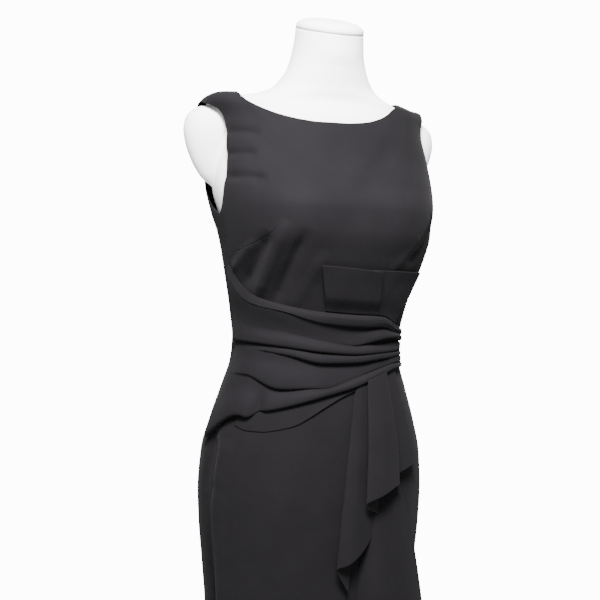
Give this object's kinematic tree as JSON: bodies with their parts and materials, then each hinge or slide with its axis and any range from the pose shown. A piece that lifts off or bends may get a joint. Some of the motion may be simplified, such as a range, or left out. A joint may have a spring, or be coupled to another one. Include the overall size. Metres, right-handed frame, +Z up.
{
  "type": "evening gown on a dress form",
  "caption": "Long black crepe evening gown, sleeveless with a boat neck, a draped waist gathered to one side and a cascade, worn by its white dress form on a stand.",
  "frame": {"origin": "centre of the stand base's underside, on the floor", "axes": "+Z up; the wearer's front faces -Y and the wearer's left is +X"},
  "size_m": [0.4284, 0.4401, 1.6027],
  "materials": {
    "crepe": "matte crepe with a faint sheen",
    "form_cloth": "smooth white jersey over a firm body",
    "stand_metal": "satin",
    "zip_metal": "black lacquer"
  },
  "bodies": {
    "gown_on_form": {"bodice_front": "crepe", "bodice_back_left": "crepe", "bodice_back_right": "crepe", "waist_drape": "crepe", "drape_underlap": "crepe", "tab_wide": "crepe", "tab_narrow": "crepe", "cascade_upper": "crepe", "cascade_middle": "crepe", "cascade_lower": "crepe", "skirt_front": "crepe", "skirt_back_left": "crepe", "skirt_back_right": "crepe", "form_torso": "form_cloth", "form_neck_cap": "form_cloth", "stand_base": "stand_metal", "stand_pole": "stand_metal", "stand_socket": "stand_metal", "zip_slider": "zip_metal"},
    "zip_pull": {"zip_pull": "zip_metal"}
  },
  "joints": [
    {"name": "zip_pull_swing", "type": "hinge", "parent": "gown_on_form", "child": "zip_pull", "pos_m": [0, 0.10816, 1.43623], "axis": [1, 0, 0], "range_deg": [0, 150]}
  ]
}
